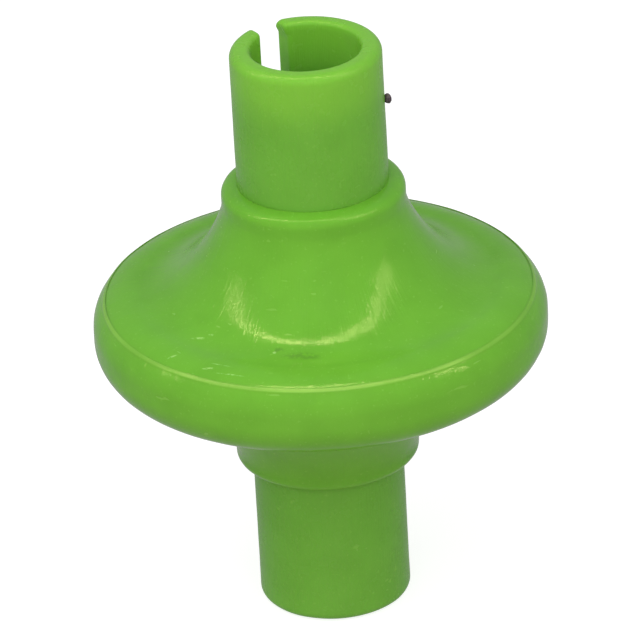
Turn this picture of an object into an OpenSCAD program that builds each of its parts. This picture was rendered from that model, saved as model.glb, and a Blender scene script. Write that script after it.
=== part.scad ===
// In-line check valve for a saliva ejector tube: a slotted inlet tube and a plain outlet tube stand
// in the collars of two round shells, and a loose silicone disc lifts inside to stop backflow.
// The mid-plane of the rim is at z = outlet_reach, and the outlet tube's end is at z = 0.

/* [Tubes] */
// Outside diameter of the inlet and outlet tubes
tube_d = 9; // [8:0.1:12]
// Bore of the inlet socket and of the outlet tube
bore_d = 6.5; // [5:0.1:7.8]
// Height of the inlet tube's mouth above the rim's mid-plane
inlet_reach = 18; // [14:0.5:30]
// Depth of the outlet tube's end below the rim's mid-plane
outlet_reach = 18; // [14:0.5:30]
// Depth of the inlet socket down to its stop shoulder
socket_depth = 11; // [8:0.5:13]
// Width of the stop shoulder in the inlet tube
stop_w = 0.65; // [0.3:0.05:1]
// How far a tube is stepped in where it stands in its collar
root_step = 0.25; // [0.1:0.05:0.4]
// Rounding of a tube end, outside
lip_outer_r = 0.55; // [0.1:0.05:0.8]
// Rounding of a tube end, inside
lip_inner_r = 0.3; // [0.1:0.05:0.6]

/* [Slot] */
// Width of the slot in the inlet tube's wall
slot_w = 1.95; // [1:0.05:3]
// Depth of the slot below the tube's mouth
slot_depth = 4.6; // [2:0.1:8]
// Direction of the slot about the axis, from +X
slot_angle = 123.5; // [0:0.5:360]
// Height of the moulding bead at the slot's mouth
slot_bead_h = 0.8; // [0.4:0.05:1.2]
// How far the moulding bead reaches into the slot
slot_bead_reach = 0.16; // [0.05:0.01:0.3]

/* [Gate mark] */
// Diameter of the round gate nub on the inlet tube
gate_d = 0.42; // [0.2:0.02:0.8]
// How far the gate nub stands out
gate_reach = 0.34; // [0.1:0.02:0.5]
// Distance of the gate nub below the tube's mouth
gate_drop = 3.6; // [1:0.1:6]

/* [Shells] */
// Outside diameter of the rim
body_d = 27; // [24:0.5:40]
// Height of the rim, from crest to crest of its rounding
body_h = 5.4; // [4.4:0.1:7]
// Width of the rim's rounding, from its crest to its widest circle
rim_round_w = 2.6; // [1.8:0.1:3.5]
// Rise of the inlet shell's plateau from the seam to its crest
plateau_rise = 0.57; // [0.3:0.01:0.8]
// Height of the straight band round the rim
rim_band_h = 0.65; // [0.2:0.05:1.2]
// Thickness of the shell walls
wall = 1.1; // [0.7:0.05:1.4]
// How far a collar stands out beyond its tube
collar_wall = 0.97; // [0.6:0.01:1.5]
// Height of the upper collar's top above the mid-plane
upper_collar_reach = 9.4; // [8.9:0.05:11]
// Depth of the lower collar's end below the mid-plane
lower_collar_reach = 8.95; // [8.9:0.05:11]
// Distance from the mid-plane to where the collar starts to flare
flare_start = 8.1; // [6.8:0.1:8.1]
// How far the flare keeps to the collar's line before it turns out
flare_upper_pull = 1.2; // [0.5:0.1:2.5]
// How far in from the crest the flare starts to turn up
flare_lower_pull = 3; // [2:0.1:4]
// How far the flare dips below the crest's line before it turns up
flare_dip = 0.4; // [0:0.05:0.6]
// Rounding of the collar's outer edge
collar_edge_r = 0.6; // [0.2:0.05:0.65]
// Fall of the collar's end face from the tube to its edge
collar_drop = 0.2; // [0:0.01:0.25]

/* [Seam] */
// Distance of the seam between the shells inside the rim's widest circle
seam_inset = 0.72; // [0.5:0.02:1.2]
// Width of the ledge on which the inlet shell rests
ledge_w = 0.45; // [0.3:0.05:0.8]
// Depth of the locating spigot below the ledge
spigot_h = 0.7; // [0.3:0.05:1]
// Thickness of the locating spigot
spigot_w = 0.75; // [0.5:0.05:1]
// Radial clearance of the spigot in the rim
spigot_gap = 0.02; // [0:0.01:0.05]

/* [Check valve] */
// Height of the valve seat above the mid-plane
seat_height = 0.6; // [0.2:0.05:0.8]
// Diameter of the check disc
disc_d = 11; // [10:0.1:14]
// Thickness of the check disc
disc_t = 0.8; // [0.5:0.05:1.2]
// Lift of the check disc from its ribs to the seat
disc_lift = 0.7; // [0.3:0.05:1]
// Radial play of the check disc between its guide fingers
disc_play = 0.25; // [0.1:0.05:0.5]
// Number of ribs under the check disc
rib_count = 6; // [4:1:8]
// Thickness of a rib
rib_t = 0.8; // [0.5:0.05:1.2]
// Depth of the ribs where they cross the outlet
rib_h = 1.5; // [0.8:0.1:2.5]
// Radial width of a guide finger
finger_w = 1.2; // [0.6:0.1:2]
// Radius of the hub where the ribs meet
hub_r = 1.3; // [0.8:0.1:2]

/* [Hidden] */
$fn = 96;
EPS = 0.01;
CURVE_STEPS = 24;
ARC_STEPS = 12;
FILLET_STEPS = 6;
EDGE_ANGLE = 70;

tube_r = tube_d / 2;
bore_r = bore_d / 2;
tube_wall = tube_r - bore_r;
root_r = tube_r - min(root_step, tube_wall / 2);
lip_out = min(lip_outer_r, tube_wall * 0.55);
lip_in = min(lip_inner_r, tube_wall * 0.3);
inlet_mouth_z = inlet_reach;
outlet_end_z = -outlet_reach;
socket_stop_z = inlet_mouth_z - socket_depth;
throat_r = bore_r - stop_w;

collar_r = tube_r + collar_wall;
body_r = body_d / 2;
crest_r = body_r - rim_round_w;
crest_z = body_h / 2;
band_z = rim_band_h / 2;
collar_root_z = flare_start - wall;

seam_r = body_r - seam_inset;
seam_angle = acos((seam_r - crest_r) / rim_round_w);
seam_z = band_z + (crest_z - band_z) * sin(seam_angle);
plateau_w = seam_r - crest_r;
plateau_radius = (plateau_w * plateau_w + plateau_rise * plateau_rise) / (2 * plateau_rise);
plateau_z = seam_z + plateau_rise;
ceiling_z = plateau_z - wall;
floor_z = crest_z - wall;
ceiling_r = crest_r - wall;
inner_pull = flare_lower_pull - wall * 0.7;
ledge_r = seam_r - ledge_w;
ledge_z = seam_z - wall;
spigot_r = ledge_r - spigot_gap;
spigot_end_z = ledge_z - spigot_h;
spigot_inner_r = spigot_r - spigot_w;
inner_turn = min(ceiling_z - spigot_end_z, spigot_inner_r - ceiling_r) / 2;

disc_r = disc_d / 2;
disc_edge_r = disc_t * 0.3;
rib_top_z = seat_height - disc_lift - disc_t;
finger_r = disc_r + disc_play;
finger_top_z = seat_height - 0.15;
rib_reach = finger_r + finger_w;

// Points along an elliptic arc from angle a0 to angle a1
function arc(centre, rx, rz, a0, a1, steps) =
    [for (i = [0:steps]) let (a = a0 + (a1 - a0) * i / steps)
        [centre[0] + rx * cos(a), centre[1] + rz * sin(a)]];

// Points along a cubic curve with the given end points and handles
function curve(p0, p1, p2, p3, steps) =
    [for (i = [0:steps]) let (t = i / steps, s = 1 - t)
        s*s*s*p0 + 3*s*s*t*p1 + 3*s*t*t*p2 + t*t*t*p3];

// The same points on the other side of the mid-plane
function flip(points) = [for (p = points) [p[0], -p[1]]];

// Outside of a shell from its collar's end face to its crest, for a collar and a crest this far out
function shell_outside(collar_reach, top_z) = concat(
    [[root_r, collar_reach], [tube_r, collar_reach]],
    arc([collar_r - collar_edge_r, collar_reach - collar_drop - collar_edge_r * sin(EDGE_ANGLE)],
        collar_edge_r, collar_edge_r, EDGE_ANGLE, 0, FILLET_STEPS),
    curve([collar_r, flare_start], [collar_r, flare_start - flare_upper_pull],
          [crest_r - flare_lower_pull, top_z - flare_dip], [crest_r, top_z], CURVE_STEPS));

// Inside of a shell from its flat ceiling or floor to the collar's root
function shell_inside(flat_z) = curve([ceiling_r, flat_z], [ceiling_r - inner_pull, flat_z],
    [root_r, collar_root_z - flare_upper_pull], [root_r, collar_root_z], CURVE_STEPS);

// The inlet shell's plateau, a round fall from its crest to the seam
plateau = arc([crest_r, plateau_z - plateau_radius], plateau_radius, plateau_radius,
    90, acos(plateau_w / plateau_radius), FILLET_STEPS);

// The rim's rounding above the mid-plane, between two angles
function rim_arc(a0, a1) =
    arc([crest_r, band_z], rim_round_w, crest_z - band_z, a0, a1, ARC_STEPS);

// Profile of a tube end, from the bore over its rounded lip to the outside, at z = 0 and opening up
function lip(inner_r) = concat(
    arc([inner_r + lip_in, -lip_in], lip_in, lip_in, 180, 90, FILLET_STEPS),
    arc([tube_r - lip_out, -lip_out], lip_out, lip_out, 90, 0, FILLET_STEPS));

function raise(points, z) = [for (p = points) [p[0], p[1] + z]];

module slot_cut() {
    // A slot along the radius, less a bead at one corner of its mouth
    bead_r = slot_bead_h / 2;
    rotate([0, 0, slot_angle])
        rotate([90, 0, 90])
            translate([0, 0, bore_r * 0.4])
                linear_extrude(tube_r)
                    difference() {
                        translate([-slot_w / 2, inlet_mouth_z - slot_depth])
                            square([slot_w, slot_depth + 1]);
                        translate([-slot_w / 2 + slot_bead_reach - bead_r, inlet_mouth_z - bead_r])
                            circle(bead_r, $fn = 32);
                    }
}

module inlet_tube() {
    color([0.40, 0.68, 0.20]) translate([0, 0, outlet_reach]) {
        difference() {
            rotate_extrude() polygon(concat(
                [[throat_r, seat_height], [throat_r, socket_stop_z], [bore_r, socket_stop_z]],
                raise(lip(bore_r), inlet_mouth_z),
                [[tube_r, upper_collar_reach], [root_r, upper_collar_reach], [root_r, seat_height]]));
            slot_cut();
        }
        translate([tube_r + gate_reach - gate_d / 2, 0, inlet_mouth_z - gate_drop])
            sphere(d = gate_d, $fn = 32);
    }
}

module outlet_tube() {
    color([0.38, 0.63, 0.22]) translate([0, 0, outlet_reach])
        rotate_extrude() polygon(concat(
            [[bore_r, -collar_root_z]],
            flip(raise(lip(bore_r), outlet_reach)),
            [[tube_r, -lower_collar_reach], [root_r, -lower_collar_reach], [root_r, -collar_root_z]]));
}

module inlet_shell() {
    color([0.43, 0.74, 0.19]) translate([0, 0, outlet_reach])
        rotate_extrude() polygon(concat(
            shell_outside(upper_collar_reach, plateau_z),
            plateau,
            [[seam_r, ledge_z], [spigot_r, ledge_z], [spigot_r, spigot_end_z],
             [spigot_inner_r, spigot_end_z]],
            arc([spigot_inner_r - inner_turn, ceiling_z - inner_turn],
                inner_turn, inner_turn, 0, 90, FILLET_STEPS),
            shell_inside(ceiling_z)));
}

module outlet_shell_wall() {
    // Collar, flare and floor below the mid-plane, and the rim round to the seam
    rotate_extrude() polygon(concat(
        flip(shell_outside(lower_collar_reach, crest_z)),
        flip(rim_arc(90, 0)),
        rim_arc(0, seam_angle),
        [[seam_r, ledge_z], [ledge_r, ledge_z]],
        flip(arc([crest_r, band_z], ledge_r - crest_r, floor_z - band_z, 0, 90, ARC_STEPS)),
        flip(shell_inside(floor_z))));
}

module disc_ribs() {
    // Blades that carry the disc, with a finger beyond its edge on each, trimmed to the shell
    intersection() {
        union() {
            for (i = [0:rib_count - 1]) rotate([0, 0, 360 * i / rib_count]) {
                translate([0, -rib_t / 2, rib_top_z - rib_h])
                    cube([rib_reach, rib_t, rib_h]);
                translate([root_r + EPS, -rib_t / 2, -flare_start])
                    cube([rib_reach - root_r - EPS, rib_t, rib_top_z + flare_start]);
                translate([finger_r, -rib_t / 2, rib_top_z - EPS])
                    cube([finger_w, rib_t, finger_top_z - rib_top_z + EPS]);
            }
            translate([0, 0, rib_top_z - rib_h]) cylinder(r = hub_r, h = rib_h);
        }
        // Everything inside the mid-surface of the shell wall
        rotate_extrude() polygon(concat(
            [[0, seat_height], [ceiling_r, seat_height]],
            curve([ceiling_r, -floor_z - wall / 2], [ceiling_r - inner_pull, -floor_z - wall / 2],
                  [tube_r, -flare_start + flare_upper_pull], [tube_r, -flare_start], CURVE_STEPS),
            [[0, -flare_start]]));
    }
}

module outlet_shell() {
    color([0.42, 0.72, 0.19]) translate([0, 0, outlet_reach]) {
        outlet_shell_wall();
        disc_ribs();
    }
}

module check_disc() {
    color([0.88, 0.88, 0.84]) translate([0, 0, outlet_reach + rib_top_z])
        rotate_extrude() polygon(concat(
            [[0, 0]],
            arc([disc_r - disc_edge_r, disc_edge_r], disc_edge_r, disc_edge_r, 270, 360, FILLET_STEPS),
            arc([disc_r - disc_edge_r, disc_t - disc_edge_r],
                disc_edge_r, disc_edge_r, 0, 90, FILLET_STEPS),
            [[0, disc_t]]));
}

inlet_tube();
inlet_shell();
outlet_shell();
outlet_tube();
check_disc();
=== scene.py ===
import math

import bmesh
import bpy
from mathutils import Matrix, Vector, noise


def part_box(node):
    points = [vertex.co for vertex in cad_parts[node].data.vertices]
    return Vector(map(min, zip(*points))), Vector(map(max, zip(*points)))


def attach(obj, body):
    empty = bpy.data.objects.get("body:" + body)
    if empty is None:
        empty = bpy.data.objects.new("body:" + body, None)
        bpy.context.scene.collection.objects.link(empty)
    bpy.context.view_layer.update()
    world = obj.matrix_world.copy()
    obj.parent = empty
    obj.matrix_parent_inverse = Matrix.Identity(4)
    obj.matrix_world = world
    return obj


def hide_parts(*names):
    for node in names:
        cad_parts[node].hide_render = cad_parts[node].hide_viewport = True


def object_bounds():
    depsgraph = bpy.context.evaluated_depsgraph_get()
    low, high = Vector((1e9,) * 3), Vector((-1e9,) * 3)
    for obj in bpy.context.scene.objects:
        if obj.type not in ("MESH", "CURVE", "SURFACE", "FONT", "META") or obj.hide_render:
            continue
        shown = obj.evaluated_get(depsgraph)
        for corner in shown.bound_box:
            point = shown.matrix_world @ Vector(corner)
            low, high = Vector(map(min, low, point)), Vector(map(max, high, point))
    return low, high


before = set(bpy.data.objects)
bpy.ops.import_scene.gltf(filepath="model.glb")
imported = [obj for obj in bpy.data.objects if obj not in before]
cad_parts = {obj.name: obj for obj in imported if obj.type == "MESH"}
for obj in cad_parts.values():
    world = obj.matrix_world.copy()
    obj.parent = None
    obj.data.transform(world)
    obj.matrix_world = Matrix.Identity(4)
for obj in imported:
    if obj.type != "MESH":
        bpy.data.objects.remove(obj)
cad_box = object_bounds()

# Lengths are in millimetres until a mesh is made. Heights are counted from the rim's mid-plane,
# which lies half way up the object, and radii from its axis.
MM = 0.001
MID_Z = (cad_box[0][2] + cad_box[1][2]) / 2 / MM


def node_box(name):
    """Lowest and highest corner of a CAD node, in millimetres from the mid-plane."""
    low, high = (Vector(corner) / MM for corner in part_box(name))
    low.z -= MID_Z
    high.z -= MID_Z
    return low, high


tube_low, tube_high = node_box("inlet_tube")
stub_low, stub_high = node_box("outlet_tube")
upper_low, upper_high = node_box("inlet_shell")
lower_low, lower_high = node_box("outlet_shell")
disc_low, disc_high = node_box("check_disc")

# Tubes
TUBE_R = stub_high.x
MOUTH_Z = tube_high.z
END_Z = stub_low.z
SEAT_Z = tube_low.z
BORE_R = 3.25
MID_WALL_R = (TUBE_R + BORE_R) / 2
STOP_Z = MOUTH_Z - 11
THROAT_R = BORE_R - 0.65
ROOT_R = TUBE_R - 0.25
LIP_OUT = 0.55
LIP_IN = 0.3

# Slot in the inlet tube, its rounded edges and the bead at its mouth
SLOT_ANGLE = math.radians(123.5)
SLOT_W = 1.95
SLOT_Z = MOUTH_Z - 4.6
SLOT_EDGE_R = 0.22
BEAD_H = 0.8
BEAD_REACH = 0.16

# Gate mark on the inlet tube
GATE_D = 0.5
GATE_REACH = 0.4
GATE_Z = MOUTH_Z - 3.7

# Shells
UPPER_COLLAR_Z = upper_high.z
LOWER_COLLAR_Z = lower_low.z
COLLAR_R = TUBE_R + 0.97
COLLAR_EDGE_R = 0.6
COLLAR_DROP = 0.2
EDGE_ANGLE = 70
RIM_R = lower_high.x
RIM_ROUND_W = 2.6
CREST_R = RIM_R - RIM_ROUND_W
CREST_Z = 2.7
BAND_Z = 0.325
WALL = 1.1
FLARE_START = 8.1
FLARE_UPPER_PULL = 1.2
FLARE_LOWER_PULL = 3
FLARE_DIP = 0.2
SEAM_R = upper_high.x
SEAM_Z = lower_high.z
PLATEAU_RISE = 0.57
PLATEAU_Z = SEAM_Z + PLATEAU_RISE
SPIGOT_END_Z = upper_low.z
LEDGE_R = SEAM_R - 0.45
LEDGE_Z = SEAM_Z - WALL
SPIGOT_R = LEDGE_R - 0.02
SPIGOT_INNER_R = SPIGOT_R - 0.75
CEILING_R = CREST_R - WALL
COLLAR_ROOT_Z = FLARE_START - WALL
INNER_PULL = FLARE_LOWER_PULL - WALL * 0.7
SEAM_LEAN = 40
WELD_R = 0.34
WELD_W = 0.16
WELD_RISE = 0.035

# Check valve
DISC_R = disc_high.x
DISC_CLEARANCE = 0.015
RIB_COUNT = 6
RIB_T = 0.8
RIB_H = 1.5
RIB_TOP_Z = disc_low.z
HUB_R = 1.3
FINGER_R = DISC_R + 0.25
FINGER_W = 1.2
FINGER_TOP_Z = SEAT_Z - 0.15

# Handling marks on the inlet shell: azimuth in degrees, radius, length, width, turn in degrees
PALE_SCUFFS = [(-137, 9.8, 1.3, 0.26, -20), (-134, 9.3, 0.5, 0.2, -35), (-124, 12.0, 1.1, 0.22, -14),
               (-137, 12.0, 0.8, 0.2, 8), (-107, 9.6, 0.3, 0.25, 0), (-107, 7.4, 0.22, 0.2, 0),
               (-117, 12.1, 2.4, 0.12, -24), (-121, 11.5, 1.6, 0.11, -28)]
DARK_SMUDGES = [(-97, 9.8, 3.0, 0.8, -8), (-106, 9.4, 0.9, 0.5, -20)]

# Colours of the marks on the green plastic, and of the painted highlights on its weld bead and mouth
SCUFF_GREEN = (0.36, 0.68, 0.16, 1)
SMUDGE_GREEN = (0.10, 0.27, 0.03, 1)
# painted highlight on the weld bead
SEAM_HIGHLIGHT_GREEN = (0.31, 0.66, 0.09, 1)
# painted light: the top of the inlet tube made lighter below the lip
MOUTH_PAINTED_LIGHT_GREEN = (0.23, 0.58, 0.045, 1)

# Mesh density
SEGMENTS = 256
CURVE_STEPS = 56
ARC_STEPS = 20
FILLET_STEPS = 8
SHARP = math.radians(40)
SAME_POINT = 1e-7

# How far the surfaces may wave inward
SHELL_WAVE = 0.03
TUBE_WAVE = 0.02


def link(obj):
    bpy.context.scene.collection.objects.link(obj)
    return obj


# Profiles: lists of (radius, height)

def arc(centre, rx, rz, a0, a1, steps=FILLET_STEPS):
    """Points along an elliptic arc from angle a0 to angle a1, in degrees."""
    points = []
    for i in range(steps + 1):
        a = math.radians(a0 + (a1 - a0) * i / steps)
        points.append((centre[0] + rx * math.cos(a), centre[1] + rz * math.sin(a)))
    return points


def curve(p0, p1, p2, p3, steps=CURVE_STEPS):
    """Points along a cubic curve."""
    points = []
    for i in range(steps + 1):
        t = i / steps
        s = 1 - t
        weights = (s ** 3, 3 * s * s * t, 3 * s * t * t, t ** 3)
        points.append(tuple(sum(w * p[k] for w, p in zip(weights, (p0, p1, p2, p3)))
                            for k in (0, 1)))
    return points


def line(p0, p1, step=0.5):
    """Points along a straight line, no further than step apart, without its two ends."""
    length = math.dist(p0, p1)
    count = max(1, math.ceil(length / step))
    return [tuple(p0[k] + (p1[k] - p0[k]) * i / count for k in (0, 1)) for i in range(1, count)]


def rounded(corners, steps=5):
    """A closed outline of (radius, height, fillet) corners, with the fillets as arcs."""
    points = []
    for i, (x, z, fillet) in enumerate(corners):
        here = Vector((x, z))
        before = Vector(corners[i - 1][:2]) - here
        after = Vector(corners[(i + 1) % len(corners)][:2]) - here
        if fillet <= 0:
            points.append((x, z))
            continue
        before.normalize()
        after.normalize()
        half = before.angle(after) / 2
        cut = fillet / math.tan(half)
        centre = here + (before + after).normalized() * fillet / math.sin(half)
        start = here + before * cut - centre
        turn = (here + after * cut - centre).angle_signed(start)
        for k in range(steps + 1):
            points.append(tuple(centre + Matrix.Rotation(turn * k / steps, 2) @ start))
    return points


def flip(points):
    return [(p[0], -p[1]) for p in points]


def shell_outside(collar_z, top_z):
    """From the collar's end face over its edge and down the flare to the crest."""
    edge = (COLLAR_R - COLLAR_EDGE_R,
            collar_z - COLLAR_DROP - COLLAR_EDGE_R * math.sin(math.radians(EDGE_ANGLE)))
    end_face = [(TUBE_R - 0.04, collar_z - 0.02), (TUBE_R + 0.03, collar_z)]
    collar_edge = arc(edge, COLLAR_EDGE_R, COLLAR_EDGE_R, EDGE_ANGLE, 0)
    flare = curve((COLLAR_R, FLARE_START), (COLLAR_R, FLARE_START - FLARE_UPPER_PULL),
                  (CREST_R - FLARE_LOWER_PULL, top_z - FLARE_DIP), (CREST_R, top_z))
    return ([(ROOT_R + 0.02, collar_z - 0.02)] + end_face + collar_edge
            + line(collar_edge[-1], flare[0], 0.25) + flare)


def shell_inside(flat_z):
    return (curve((CEILING_R, flat_z), (CEILING_R - INNER_PULL, flat_z),
                  (ROOT_R + 0.02, COLLAR_ROOT_Z - FLARE_UPPER_PULL),
                  (ROOT_R + 0.02, COLLAR_ROOT_Z), 24))


# Meshes

def solid(name, verts, faces):
    """A smooth-shaded mesh from vertices in millimetres above the mid-plane."""
    mesh = bpy.data.meshes.new(name)
    mesh.from_pydata([(x * MM, y * MM, (z + MID_Z) * MM) for x, y, z in verts], [], faces)
    mesh.validate()
    mesh.polygons.foreach_set("use_smooth", [True] * len(mesh.polygons))
    mesh.set_sharp_from_angle(angle=SHARP)
    return link(bpy.data.objects.new(name, mesh))


def welded(obj):
    """The same piece with the vertices that meet joined, as at the poles of a turned shape."""
    shape = bmesh.new()
    shape.from_mesh(obj.data)
    bmesh.ops.remove_doubles(shape, verts=shape.verts, dist=SAME_POINT)
    bmesh.ops.recalc_face_normals(shape, faces=shape.faces)
    shape.to_mesh(obj.data)
    shape.free()
    return obj


def waviness(radius, angle, height):
    """Moulding waviness from 0 to 1, which the wall sinks by."""
    at = Vector((radius * math.cos(angle) / 3.1, radius * math.sin(angle) / 3.1, height / 3.7))
    return 0.5 + 0.5 * noise.fractal(at, 0.6, 2.0, 3)


def lathe(name, profile, sink=0.0, segments=SEGMENTS):
    """A closed profile turned about the axis. sink is how far its surface may wave inward."""
    count = len(profile)
    if sum(profile[i - 1][0] * p[1] - p[0] * profile[i - 1][1] for i, p in enumerate(profile)) > 0:
        profile = profile[::-1]
    verts = []
    for i, (r, z) in enumerate(profile):
        before, after = profile[i - 1], profile[(i + 1) % count]
        along = Vector((after[0] - before[0], after[1] - before[1]))
        inward = Vector((along[1], -along[0])).normalized() if along.length > 1e-9 else Vector((0, 0))
        for k in range(segments):
            a = 2 * math.pi * k / segments
            depth = sink * waviness(r, a, z) if sink else 0
            rr, zz = r + inward[0] * depth, z + inward[1] * depth
            verts.append((rr * math.cos(a), rr * math.sin(a), zz))
    faces = []
    for i in range(count):
        row, next_row = i * segments, (i + 1) % count * segments
        for k in range(segments):
            n = (k + 1) % segments
            faces.append((row + k, next_row + k, next_row + n, row + n))
    return solid(name, verts, faces)


def inlet_shell():
    inner_turn = min(PLATEAU_Z - WALL - SPIGOT_END_Z, SPIGOT_INNER_R - CEILING_R) / 2
    width = SEAM_R - CREST_R
    radius = (width ** 2 + PLATEAU_RISE ** 2) / (2 * PLATEAU_RISE)
    foot = math.degrees(math.acos(width / radius))
    plateau = arc((CREST_R, PLATEAU_Z - radius), radius, radius, 90, foot, 16)
    ceiling_z = PLATEAU_Z - WALL
    profile = (shell_outside(UPPER_COLLAR_Z, PLATEAU_Z) + plateau[1:]
               + [(SEAM_R - 0.01, SEAM_Z - 0.12), (SEAM_R - 0.01, LEDGE_Z + 0.05),
                  (SEAM_R - 0.06, LEDGE_Z), (SPIGOT_R, LEDGE_Z), (SPIGOT_R, SPIGOT_END_Z + 0.1),
                  (SPIGOT_R - 0.1, SPIGOT_END_Z), (SPIGOT_INNER_R + 0.1, SPIGOT_END_Z),
                  (SPIGOT_INNER_R, SPIGOT_END_Z + 0.1)]
               + arc((SPIGOT_INNER_R - inner_turn, ceiling_z - inner_turn), inner_turn, inner_turn, 0, 90)
               + shell_inside(ceiling_z))
    return lathe("inlet_shell_moulding", profile, sink=SHELL_WAVE)


def outlet_shell():
    rim = arc((CREST_R, BAND_Z), RIM_ROUND_W, CREST_Z - BAND_Z, 90, 0, ARC_STEPS)
    seam_angle = math.degrees(math.acos((SEAM_R - CREST_R) / RIM_ROUND_W))
    lean = math.radians(SEAM_LEAN)
    bead = (SEAM_R + WELD_RISE * math.sin(lean) - WELD_R * math.sin(lean),
            SEAM_Z + WELD_RISE * math.cos(lean) - WELD_R * math.cos(lean))
    spread = math.degrees(WELD_W / WELD_R)
    weld = arc(bead, WELD_R, WELD_R, 90 - SEAM_LEAN - spread, 90 - SEAM_LEAN + spread, 8)
    upper_rim = arc((CREST_R, BAND_Z), RIM_ROUND_W, CREST_Z - BAND_Z, 0, seam_angle - 5, ARC_STEPS)
    floor_z = CREST_Z - WALL
    bowl = arc((CREST_R, BAND_Z), LEDGE_R - CREST_R, floor_z - BAND_Z, 0, 90, 12)
    profile = (flip(shell_outside(-LOWER_COLLAR_Z, CREST_Z)) + flip(rim)[1:]
               + line((RIM_R, -BAND_Z), (RIM_R, BAND_Z), 0.2) + upper_rim + weld
               + [(SEAM_R, SEAM_Z - 0.1), (SEAM_R, LEDGE_Z + 0.03), (LEDGE_R, LEDGE_Z)] + flip(bowl)
               + flip(shell_inside(floor_z)))
    return lathe("outlet_shell_moulding", profile, sink=SHELL_WAVE)


def outlet_tube():
    start = -COLLAR_ROOT_Z
    profile = rounded([(BORE_R, start, 0.15), (BORE_R, END_Z, LIP_IN), (TUBE_R, END_Z, LIP_OUT),
                       (TUBE_R, LOWER_COLLAR_Z + 0.06, 0.06), (ROOT_R, LOWER_COLLAR_Z + 0.12, 0),
                       (ROOT_R, start, 0.1)], FILLET_STEPS)
    dense = []
    for i, point in enumerate(profile):
        dense.append(point)
        dense += line(point, profile[(i + 1) % len(profile)], 0.3)
    return lathe("outlet_tube_moulding", dense, sink=TUBE_WAVE, segments=192)


def slot_edge_steps(steps=6):
    """Distances from the slot's outline, close together on its rounded edge."""
    return [SLOT_EDGE_R * (1 - math.cos(math.pi / 2 * i / steps)) for i in range(steps + 1)]


def slot_columns():
    """Lateral distances from the slot's middle, in the angle seen at the tube's outside."""
    half = SLOT_W / 2
    gap = [half * (i / 4 - 1) for i in range(1, 8)]
    near = [half + d for d in slot_edge_steps()]
    first = math.asin(near[-1] / TUBE_R)
    count, crowding = 74, 1.1
    side = [first + (math.pi - first) * (i / count) ** crowding for i in range(1, count)]
    gap_angles = [math.asin(u / TUBE_R) for u in gap]
    near_angles = [math.asin(u / TUBE_R) for u in near]
    right = near_angles + side
    return gap_angles + right + [math.pi] + [-a for a in reversed(right)]


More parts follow.
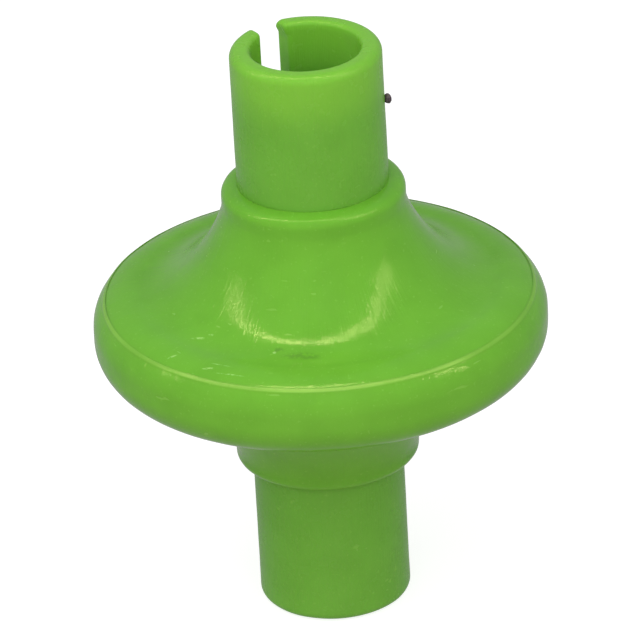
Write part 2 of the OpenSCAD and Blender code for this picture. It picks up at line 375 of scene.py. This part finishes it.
def inlet_tube():
    """The slotted tube. Round the slot, the wall's surface sinks away over the rounded edge."""
    columns = slot_columns()
    half = SLOT_W / 2
    edge = slot_edge_steps()
    lip_start = MOUTH_Z - LIP_OUT
    step = (SLOT_Z - SLOT_EDGE_R - UPPER_COLLAR_Z) / 13
    below = [UPPER_COLLAR_Z - 0.12] + [UPPER_COLLAR_Z - 0.03 + step * i for i in range(13)]
    slot_rows = [SLOT_Z - d for d in reversed(edge)]
    above = [SLOT_Z + (lip_start - SLOT_Z) * i / 12 for i in range(1, 13)]
    walls = below + slot_rows + above
    lip_count = 7
    first_gap_row = len(below) + len(slot_rows) - 1

    def sunk(u, z):
        gap = math.hypot(max(abs(u) - half, 0), max(SLOT_Z - z, 0))
        if gap >= SLOT_EDGE_R:
            return 0
        return SLOT_EDGE_R - math.sqrt(SLOT_EDGE_R ** 2 - (SLOT_EDGE_R - gap) ** 2)

    def section(u):
        """The wall's outside, from the collar up over the lip, and its inside back down."""
        outer, inner = [], []
        for i, z in enumerate(walls):
            d = sunk(u, z)
            outer.append(((ROOT_R if i == 0 else TUBE_R) - d, z))
            inner.append((BORE_R + d, z))
        d = sunk(u, MOUTH_Z)
        out_centre = (TUBE_R - LIP_OUT, lip_start)
        in_centre = (BORE_R + LIP_IN, MOUTH_Z - LIP_IN)
        outer += arc(out_centre, LIP_OUT - d, LIP_OUT - d, 90 / lip_count, 90, lip_count - 1)
        inner += arc(in_centre, LIP_IN - d, LIP_IN - d, 180 - 90 / lip_count, 90, lip_count - 1)
        return outer, inner

    def place(r, z, column):
        """Columns near the slot keep their distance from its middle plane at every radius."""
        u = TUBE_R * math.sin(column)
        share = min(max((math.radians(40) - abs(column)) / math.radians(20), 0), 1)
        angle = column
        if share > 0:
            angle += (math.asin(max(-0.95, min(0.95, u / r))) - column) * share
        bead = max(0, 1 - ((z - MOUTH_Z + BEAD_H / 2) / (BEAD_H / 2)) ** 2)
        if bead and u < -half * 0.9:
            angle += BEAD_REACH * math.sqrt(bead) * math.exp(-(abs(u) - half) / 0.12) / r
        a = SLOT_ANGLE + angle
        sink = TUBE_WAVE * waviness(r, a, z) * (-1 if r > MID_WALL_R else 1)
        return ((r + sink) * math.cos(a), (r + sink) * math.sin(a), z)

    rows = len(walls) + lip_count
    verts, at = [], {}
    for c, column in enumerate(columns):
        u = TUBE_R * math.sin(column) if abs(column) < math.pi / 2 else TUBE_R
        outer, inner = section(u)
        in_gap = abs(u) < half - 1e-6
        for side, points in enumerate((outer, inner)):
            for i, (r, z) in enumerate(points):
                if in_gap and i > first_gap_row:
                    continue
                at[c, side, i] = len(verts)
                verts.append(place(r, z, column))
        hidden = ([(ROOT_R, SEAT_Z + 0.05), (ROOT_R - 0.05, SEAT_Z), (THROAT_R + 0.05, SEAT_Z),
                   (THROAT_R, SEAT_Z + 0.05), (THROAT_R, 3), (THROAT_R, STOP_Z - 0.12)]
                  + arc((THROAT_R + 0.12, STOP_Z - 0.12), 0.12, 0.12, 150, 90, 3)
                  + [(BORE_R - 0.2, STOP_Z), (BORE_R - 0.06, STOP_Z + 0.02), (BORE_R, STOP_Z + 0.1)])
        for i, (r, z) in enumerate(hidden):
            at[c, 2, i] = len(verts)
            a = SLOT_ANGLE + column
            verts.append((r * math.cos(a), r * math.sin(a), z))
    hidden_count = len(hidden)

    faces = []
    total = len(columns)
    for c in range(total):
        n = (c + 1) % total
        for i in range(rows - 1):
            for side in (0, 1):
                corners = [(c, side, i), (n, side, i), (n, side, i + 1), (c, side, i + 1)]
                if all(k in at for k in corners):
                    quad = [at[k] for k in corners]
                    faces.append(quad if side == 0 else quad[::-1])
        top = rows - 1
        if (c, 0, top) in at and (n, 0, top) in at:
            faces.append([at[c, 0, top], at[n, 0, top], at[n, 1, top], at[c, 1, top]])
        if (c, 0, first_gap_row + 1) not in at or (n, 0, first_gap_row + 1) not in at:
            row = first_gap_row
            faces.append([at[c, 0, row], at[n, 0, row], at[n, 1, row], at[c, 1, row]])
        chain = [(0, 0)] + [(2, i) for i in range(hidden_count)] + [(1, 0)]
        for (s0, i0), (s1, i1) in zip(chain, chain[1:]):
            faces.append([at[c, s0, i0], at[c, s1, i1], at[n, s1, i1], at[n, s0, i0]])
        for other in (n, (c - 1) % total):
            if (c, 0, top) in at and (other, 0, top) not in at:
                for i in range(first_gap_row, top):
                    quad = [at[c, 0, i], at[c, 0, i + 1], at[c, 1, i + 1], at[c, 1, i]]
                    faces.append(quad if other == n else quad[::-1])
    return solid("inlet_tube_moulding", verts, faces)


def gate_mark():
    """The rough nub left where the tube was snapped off its runner: a short stalk and a drop."""
    radius = GATE_D / 2
    centre = Vector((TUBE_R + GATE_REACH - radius, 0, GATE_Z))
    rings, sides = 16, 28
    verts = []
    for i in range(rings + 1):
        polar = math.pi * i / rings
        for k in range(sides):
            around = 2 * math.pi * k / sides
            out = Vector((-math.cos(polar), math.sin(polar) * math.cos(around),
                          math.sin(polar) * math.sin(around)))
            rough = 0.96 + 0.06 * noise.noise(out * 2.3 + Vector((5, 1, 2)))
            drop = out * radius * min(rough, 1)
            drop.z *= 1.3
            drop.z -= 0.25 * max(drop.x, 0)
            verts.append(tuple(centre + drop))
    faces = []
    for i in range(rings):
        row = i * sides
        for k in range(sides):
            n = (k + 1) % sides
            faces.append((row + k, row + n, row + sides + n, row + sides + k))
    return welded(solid("gate_mark", verts, faces))


def check_disc():
    """The silicone disc: a flat button with a soft edge and a shallow dimple at its gate."""
    thick = disc_high.z - disc_low.z
    edge = thick * 0.3
    low, high = disc_low.z, disc_high.z - DISC_CLEARANCE
    half = ([(0.001, low)] + line((0, low), (DISC_R - edge, low), 0.3)
            + arc((DISC_R - edge, low + edge), edge, edge, 270, 360)
            + arc((DISC_R - edge, high - edge), edge, edge, 0, 90)
            + line((DISC_R - edge, high), (1.2, high), 0.3)
            + curve((1.1, high), (0.8, high), (0.8, high - 0.09), (0.5, high - 0.09), 6)
            + [(0.25, high - 0.09), (0.001, high - 0.09)])
    return lathe("check_disc_silicone", half, segments=96)


def extrude_outline(name, outline, thickness, turn):
    """A plate of a (radius, height) outline, stood on edge along the radius at an angle."""
    count = len(outline)
    verts = []
    for side in (-0.5, 0.5):
        for r, z in outline:
            y = side * thickness
            verts.append((r * math.cos(turn) - y * math.sin(turn),
                          r * math.sin(turn) + y * math.cos(turn), z))
    faces = [list(range(count)), list(range(count, 2 * count))[::-1]]
    for i in range(count):
        n = (i + 1) % count
        faces.append((i, i + count, n + count, n))
    return solid(name, verts, faces)


def disc_ribs(parent):
    """Six blades that carry the disc, each with a guide finger, and the hub where they meet."""
    wall_curve = flip(curve((CEILING_R, CREST_Z - WALL / 2), (CEILING_R - INNER_PULL, CREST_Z - WALL / 2),
                            (TUBE_R, FLARE_START - FLARE_UPPER_PULL), (TUBE_R, FLARE_START), 24))
    reach = FINGER_R + FINGER_W
    under = [p for p in wall_curve if ROOT_R + 0.05 < p[0] < reach]
    outline = ([(0.3, RIB_TOP_Z), (0.3, RIB_TOP_Z - RIB_H), (ROOT_R + 0.03, RIB_TOP_Z - RIB_H)]
               + [(ROOT_R + 0.03, under[-1][1])] + under[::-1]
               + [(reach, under[0][1]), (reach, FINGER_TOP_Z), (FINGER_R, FINGER_TOP_Z),
                  (FINGER_R, RIB_TOP_Z)])
    made = []
    for i in range(RIB_COUNT):
        made.append(extrude_outline(f"disc_rib_{i + 1}", outline, RIB_T, 2 * math.pi * i / RIB_COUNT))
    hub = lathe("rib_hub", rounded([(0.001, RIB_TOP_Z, 0), (0.001, RIB_TOP_Z - RIB_H, 0),
                                    (HUB_R, RIB_TOP_Z - RIB_H, 0.15), (HUB_R, RIB_TOP_Z, 0.1)]),
                segments=64)
    for rib in made:
        bevel = rib.modifiers.new("edges", "BEVEL")
        bevel.width = 0.08 * MM
        bevel.segments = 2
        bevel.limit_method = "ANGLE"
        bevel.angle_limit = math.radians(50)
    for piece in made + [hub]:
        piece.parent = parent
    return made + [hub]


# Materials

class Nodes:
    """Short calls for building a material's node tree."""

    def __init__(self, name):
        self.material = bpy.data.materials.new(name)
        self.material.use_nodes = True
        self.tree = self.material.node_tree
        self.shader = self.tree.nodes["Principled BSDF"]

    def put(self, socket, value):
        if isinstance(value, bpy.types.NodeSocket):
            self.tree.links.new(value, socket)
        elif value is not None:
            socket.default_value = value

    def math(self, operation, a, b=None, clamp=False):
        node = self.tree.nodes.new("ShaderNodeMath")
        node.operation = operation
        node.use_clamp = clamp
        self.put(node.inputs[0], a)
        self.put(node.inputs[1], b)
        return node.outputs[0]

    def position(self):
        return self.tree.nodes.new("ShaderNodeTexCoord").outputs["Object"]

    def noise(self, vector, scale, detail=2, roughness=0.5):
        node = self.tree.nodes.new("ShaderNodeTexNoise")
        self.put(node.inputs["Vector"], vector)
        node.inputs["Scale"].default_value = scale
        node.inputs["Detail"].default_value = detail
        node.inputs["Roughness"].default_value = roughness
        return node.outputs["Fac"]

    def ramp(self, value, low, high, to_low=0.0, to_high=1.0):
        node = self.tree.nodes.new("ShaderNodeMapRange")
        node.interpolation_type = "SMOOTHSTEP"
        self.put(node.inputs["Value"], value)
        for socket, number in (("From Min", low), ("From Max", high),
                               ("To Min", to_low), ("To Max", to_high)):
            node.inputs[socket].default_value = number
        return node.outputs["Result"]

    def mix(self, factor, a, b):
        node = self.tree.nodes.new("ShaderNodeMix")
        node.data_type = "RGBA"
        self.put(node.inputs[0], factor)
        self.put(node.inputs[6], a)
        self.put(node.inputs[7], b)
        return node.outputs[2]

    def bump(self, height, distance, normal=None):
        node = self.tree.nodes.new("ShaderNodeBump")
        node.inputs["Distance"].default_value = distance
        self.put(node.inputs["Height"], height)
        self.put(node.inputs["Normal"], normal)
        return node.outputs["Normal"]

    def polar(self, turns, along):
        """A vector that repeats round the axis: streaks of turns per radian, along the radius."""
        split = self.tree.nodes.new("ShaderNodeSeparateXYZ")
        self.put(split.inputs[0], self.position())
        x, y, z = split.outputs
        radius = self.math("SQRT", self.math("ADD", self.math("MULTIPLY", x, x),
                                             self.math("MULTIPLY", y, y)))
        join = self.tree.nodes.new("ShaderNodeCombineXYZ")
        self.put(join.inputs[0], self.math("MULTIPLY", self.math("DIVIDE", x, radius), turns))
        self.put(join.inputs[1], self.math("MULTIPLY", self.math("DIVIDE", y, radius), turns))
        self.put(join.inputs[2], self.math("MULTIPLY", self.math("SUBTRACT", radius, z), along))
        return join.outputs[0], radius, z


def spot(n, azimuth, radius, length, width, tilt):
    """How far inside a long spot on the top a point is: 1 in its middle, 0 outside. Millimetres."""
    node = n.tree.nodes.new("ShaderNodeMapping")
    node.vector_type = "TEXTURE"
    a = math.radians(azimuth)
    n.put(node.inputs["Vector"], n.position())
    node.inputs["Location"].default_value = (radius * MM * math.cos(a), radius * MM * math.sin(a),
                                             (MID_Z + PLATEAU_Z) * MM)
    node.inputs["Rotation"].default_value = (0, 0, math.radians(tilt))
    node.inputs["Scale"].default_value = (length / 2 * MM, width / 2 * MM, 1.5 * MM)
    measure = n.tree.nodes.new("ShaderNodeVectorMath")
    measure.operation = "LENGTH"
    n.put(measure.inputs[0], node.outputs["Vector"])
    return n.ramp(measure.outputs["Value"], 0.35, 1.0, 1.0, 0.0)


def scuffs(n, marks):
    """Several spots as one mask, broken up by fine noise."""
    total = spot(n, *marks[0])
    for mark in marks[1:]:
        total = n.math("MAXIMUM", total, spot(n, *mark))
    return n.math("MULTIPLY", total, n.ramp(n.noise(n.position(), 4200, 2), 0.36, 0.58))


def seam_painted_highlight(n, radius, z):
    """Painted highlight along the weld bead: pale colour strongest at the front, facing the camera, and
    half as strong at the sides, where it lightens the shade in the groove. Broken up along the bead, and
    0 off it.
    """
    off_radius = n.math("ABSOLUTE", n.math("SUBTRACT", radius, (SEAM_R + 0.02) * MM))
    off_height = n.math("ABSOLUTE", n.math("SUBTRACT", z, (MID_Z + SEAM_Z) * MM))
    near = n.ramp(n.math("ADD", off_radius, off_height), 0.08 * MM, 0.24 * MM, 1.0, 0.0)
    split = n.tree.nodes.new("ShaderNodeSeparateXYZ")
    n.put(split.inputs[0], n.position())
    front = n.ramp(n.math("DIVIDE", split.outputs["Y"], radius), -0.92, -0.6, 1.0, 0.5)
    patchy = n.ramp(n.noise(n.position(), 160, 3), 0.35, 0.6, 0.5, 1.0)
    return n.math("MULTIPLY", near, n.math("MULTIPLY", front, patchy))


def mouth_painted_light(n, z):
    """Painted light on the outside of the mouth, making the top of the tube lighter: 1 at the lip, gone 4
    mm lower, uneven.
    """
    height = n.math("ADD", z, n.math("MULTIPLY", n.noise(n.position(), 300, 2), 1.6 * MM))
    return n.ramp(height, (MID_Z + MOUTH_Z - 3.2) * MM, (MID_Z + MOUTH_Z - 0.2) * MM)


def moulded_green(name, base, deep, pale, gloss, marked=False):
    """Pigmented green plastic: cloudy pigment, moulding grain, flow streaks and fine scratches, with
    painted highlights on the weld bead and the mouth.
    """
    n = Nodes(name)
    where = n.position()
    cloud = n.ramp(n.noise(where, 420, 3), 0.35, 0.7)
    speck = n.ramp(n.noise(where, 5200, 2), 0.62, 0.75)
    streak_at, radius, z = n.polar(46, 130)
    streak = n.noise(streak_at, 1, 3)
    colour = n.mix(n.math("MULTIPLY", cloud, 0.55), base, deep)
    colour = n.mix(n.math("MULTIPLY", speck, 0.35), colour, pale)
    scratch_at, _, _ = n.polar(9, 2600)
    scratch = n.ramp(n.noise(scratch_at, 1, 1), 0.70, 0.76)
    patch = n.ramp(n.noise(where, 260, 1), 0.5, 0.62)
    scratch = n.math("MULTIPLY", scratch, patch)
    colour = n.mix(n.math("MULTIPLY", scratch, 0.35), colour, pale)
    # Painted highlight: pale green along the weld bead, strongest at the front. The same mask makes the
    # bead rougher.
    seam = seam_painted_highlight(n, radius, z)
    colour = n.mix(n.math("MULTIPLY", seam, 0.9), colour, SEAM_HIGHLIGHT_GREEN)
    if marked:
        colour = n.mix(n.math("MULTIPLY", scuffs(n, PALE_SCUFFS), 0.9), colour, SCUFF_GREEN)
        colour = n.mix(n.math("MULTIPLY", scuffs(n, DARK_SMUDGES), 0.6), colour, SMUDGE_GREEN)
    # Painted light: lighter green on the tube's outside towards its mouth.
    colour = n.mix(n.math("MULTIPLY", mouth_painted_light(n, z), 0.6), colour, MOUTH_PAINTED_LIGHT_GREEN)
    n.put(n.shader.inputs["Base Color"], colour)
    rough = n.math("ADD", n.math("MULTIPLY", n.noise(where, 900, 3), 0.16), gloss - 0.08)
    rough = n.math("ADD", rough, n.math("MULTIPLY", seam, 0.25))
    rough = n.math("ADD", rough, n.math("MULTIPLY", scratch, 0.2), clamp=True)
    n.put(n.shader.inputs["Roughness"], rough)
    grain = n.bump(n.noise(where, 3800, 3), 0.000012)
    flow = n.bump(streak, 0.00002, grain)
    n.put(n.shader.inputs["Normal"], n.bump(scratch, -0.00001, flow))
    n.shader.inputs["IOR"].default_value = 1.49
    n.shader.inputs["Specular IOR Level"].default_value = 0.22
    n.shader.inputs["Subsurface Weight"].default_value = 0.2
    n.shader.inputs["Subsurface Radius"].default_value = (0.5, 1.0, 0.3)
    n.shader.inputs["Subsurface Scale"].default_value = 0.8 * MM
    return n.material


def silicone(name):
    n = Nodes(name)
    where = n.position()
    cloud = n.ramp(n.noise(where, 700, 2), 0.3, 0.7)
    n.put(n.shader.inputs["Base Color"], n.mix(cloud, (0.72, 0.72, 0.66, 1), (0.80, 0.80, 0.75, 1)))
    n.put(n.shader.inputs["Roughness"], n.ramp(n.noise(where, 2500, 2), 0.3, 0.7, 0.38, 0.52))
    n.put(n.shader.inputs["Normal"], n.bump(n.noise(where, 4200, 2), 0.00001))
    n.shader.inputs["Subsurface Weight"].default_value = 0.2
    n.shader.inputs["Subsurface Radius"].default_value = (0.0012, 0.0011, 0.001)
    n.shader.inputs["IOR"].default_value = 1.41
    return n.material


def gate_dark_material(name):
    """The gate mark: dark purple-grey, mottled, with the paler flecks rougher."""
    n = Nodes(name)
    where = n.position()
    # mottling between two dark purple-greys, which also sets the roughness
    mottle = n.ramp(n.noise(where, 9000, 3), 0.4, 0.7)
    n.put(n.shader.inputs["Base Color"], n.mix(mottle, (0.055, 0.035, 0.05, 1), (0.13, 0.10, 0.12, 1)))
    n.put(n.shader.inputs["Roughness"], n.ramp(mottle, 0, 1, 0.5, 0.8))
    n.put(n.shader.inputs["Normal"], n.bump(n.noise(where, 14000, 2), 0.00003))
    return n.material


# Studio

def make_camera():
    """A long lens from the front, 27 degrees up, with the object leaning a little in the frame."""
    low, high = cad_box
    target = Vector((-0.00005, 0, (low[2] + high[2]) / 2))
    distance = 0.534
    elevation = math.radians(27)
    roll = math.radians(-3.3)
    width_seen = 37.95 * MM
    data = bpy.data.cameras.new("camera")
    data.sensor_width = 36
    data.lens = data.sensor_width * distance / width_seen
    data.clip_start = 0.01
    cam = link(bpy.data.objects.new("camera", data))
    place = target + distance * Vector((0, -math.cos(elevation), math.sin(elevation)))
    turn = Matrix.Rotation(math.pi / 2 - elevation, 4, "X") @ Matrix.Rotation(roll, 4, "Z")
    cam.matrix_world = Matrix.Translation(place) @ turn
    bpy.context.scene.camera = cam


def area(name, azimuth, elevation, distance, size, power, colour=(1, 1, 1)):
    """A soft square light that makes no highlights. Azimuth 0 is the camera's side."""
    data = bpy.data.lights.new(name, "AREA")
    data.shape = "SQUARE"
    data.size = size
    data.energy = power
    data.color = colour
    lamp = link(bpy.data.objects.new(name, data))
    a, e = math.radians(azimuth - 90), math.radians(elevation)
    target = Vector((0, 0, MID_Z * MM))
    away = Vector((math.cos(e) * math.cos(a), math.cos(e) * math.sin(a), math.sin(e)))
    lamp.location = target + away * distance
    lamp.rotation_euler = away.to_track_quat("Z", "Y").to_euler()
    lamp.visible_glossy = False


def make_floor():
    """A pale floor for the camera only: the lights stand in for what it would reflect."""
    mesh = bpy.data.meshes.new("floor")
    mesh.from_pydata([(-1.5, -1.5, 0), (1.5, -1.5, 0), (1.5, 1.5, 0), (-1.5, 1.5, 0)], [], [(0, 1, 2, 3)])
    plane = link(bpy.data.objects.new("floor", mesh))
    glow = 0.78
    n = Nodes("floor")
    n.shader.inputs["Base Color"].default_value = (0.4, 0.4, 0.4, 1)
    n.shader.inputs["Roughness"].default_value = 0.9
    n.shader.inputs["Specular IOR Level"].default_value = 0.1
    n.shader.inputs["Emission Color"].default_value = (1, 1, 1, 1)
    n.shader.inputs["Emission Strength"].default_value = glow
    plane.data.materials.append(n.material)
    plane.visible_diffuse = False
    plane.visible_glossy = False
    plane.visible_shadow = False


def light_arch(strength, colour):
    """A thin hoop of light from left to right over the object, for its highlights only.

    It is widest overhead, and its right half leans towards the camera.
    """
    radius, width, steps = 0.5, 0.018, 60
    left_end, right_end, taper = -69, 70, 9
    right_lean, left_set_back = 0.3, 0.01
    overhead_width, thinnest = 0.6, 0.05
    target = Vector((0, 0, MID_Z * MM))
    verts, faces = [], []
    for i in range(steps + 1):
        degrees = left_end + (right_end - left_end) * i / steps
        t = math.radians(degrees)
        forward = -right_lean * math.sin(2 * t) if t > 0 else left_set_back
        middle = target + radius * Vector((math.sin(t), forward, math.cos(t))).normalized()
        to_end = min(degrees - left_end, right_end - degrees)
        half = width / 2 * max(thinnest, min(1, to_end / taper))
        half *= 1 + overhead_width * math.cos(t) ** 4
        verts += [tuple(middle + Vector((0, side * half, 0))) for side in (-1, 1)]
    for i in range(steps):
        faces.append((2 * i, 2 * i + 1, 2 * i + 3, 2 * i + 2))
    mesh = bpy.data.meshes.new("light_arch")
    mesh.from_pydata(verts, [], faces)
    arch = link(bpy.data.objects.new("light_arch", mesh))
    n = Nodes("light_arch")
    n.shader.inputs["Base Color"].default_value = (0, 0, 0, 1)
    n.shader.inputs["Emission Color"].default_value = colour
    n.shader.inputs["Emission Strength"].default_value = strength
    mesh.materials.append(n.material)
    arch.visible_camera = False
    arch.visible_diffuse = False
    arch.visible_shadow = False


def make_world(strength):
    world = bpy.data.worlds.new("studio")
    world.use_nodes = True
    background = world.node_tree.nodes["Background"]
    background.inputs["Color"].default_value = (1, 1, 1, 1)
    background.inputs["Strength"].default_value = strength
    bpy.context.scene.world = world


def finish_piece(piece, body, slot, material, *nodes):
    piece.data.materials.append(material)
    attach(piece, body)
    if nodes:
        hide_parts(*nodes)


bpy.context.scene.view_settings.view_transform = "Standard"
make_camera()
make_floor()
make_world(0.44)
area("front", 0, 45, 0.2, 0.14, 0.14)
area("low", 0, 20, 0.2, 0.14, 0.015)
area("bounce", 0, -25, 0.2, 0.14, 0.09, (1, 0.6, 0.7))
area("left", -70, 45, 0.3, 0.2, 0.28)
area("right", 70, 45, 0.3, 0.2, 0.19)
light_arch(34, (1, 0.88, 0.38, 1))

shell_green = moulded_green("shell_green", (0.16, 0.46, 0.035, 1), (0.14, 0.41, 0.03, 1),
                            (0.27, 0.58, 0.08, 1), 0.12, marked=True)
tube_green = moulded_green("tube_green", (0.152, 0.435, 0.042, 1), (0.135, 0.39, 0.036, 1),
                           (0.25, 0.55, 0.08, 1), 0.26)
finish_piece(inlet_tube(), "housing", "tube_green", tube_green, "inlet_tube")
finish_piece(outlet_tube(), "housing", "tube_green", tube_green, "outlet_tube")
finish_piece(inlet_shell(), "housing", "shell_green", shell_green, "inlet_shell")
lower = outlet_shell()
finish_piece(lower, "housing", "shell_green", shell_green, "outlet_shell")
for rib in disc_ribs(lower):
    rib.data.materials.append(shell_green)
finish_piece(gate_mark(), "housing", "tube_green", gate_dark_material("gate_dark"))
finish_piece(check_disc(), "valve_disc", "silicone", silicone("silicone"), "check_disc")
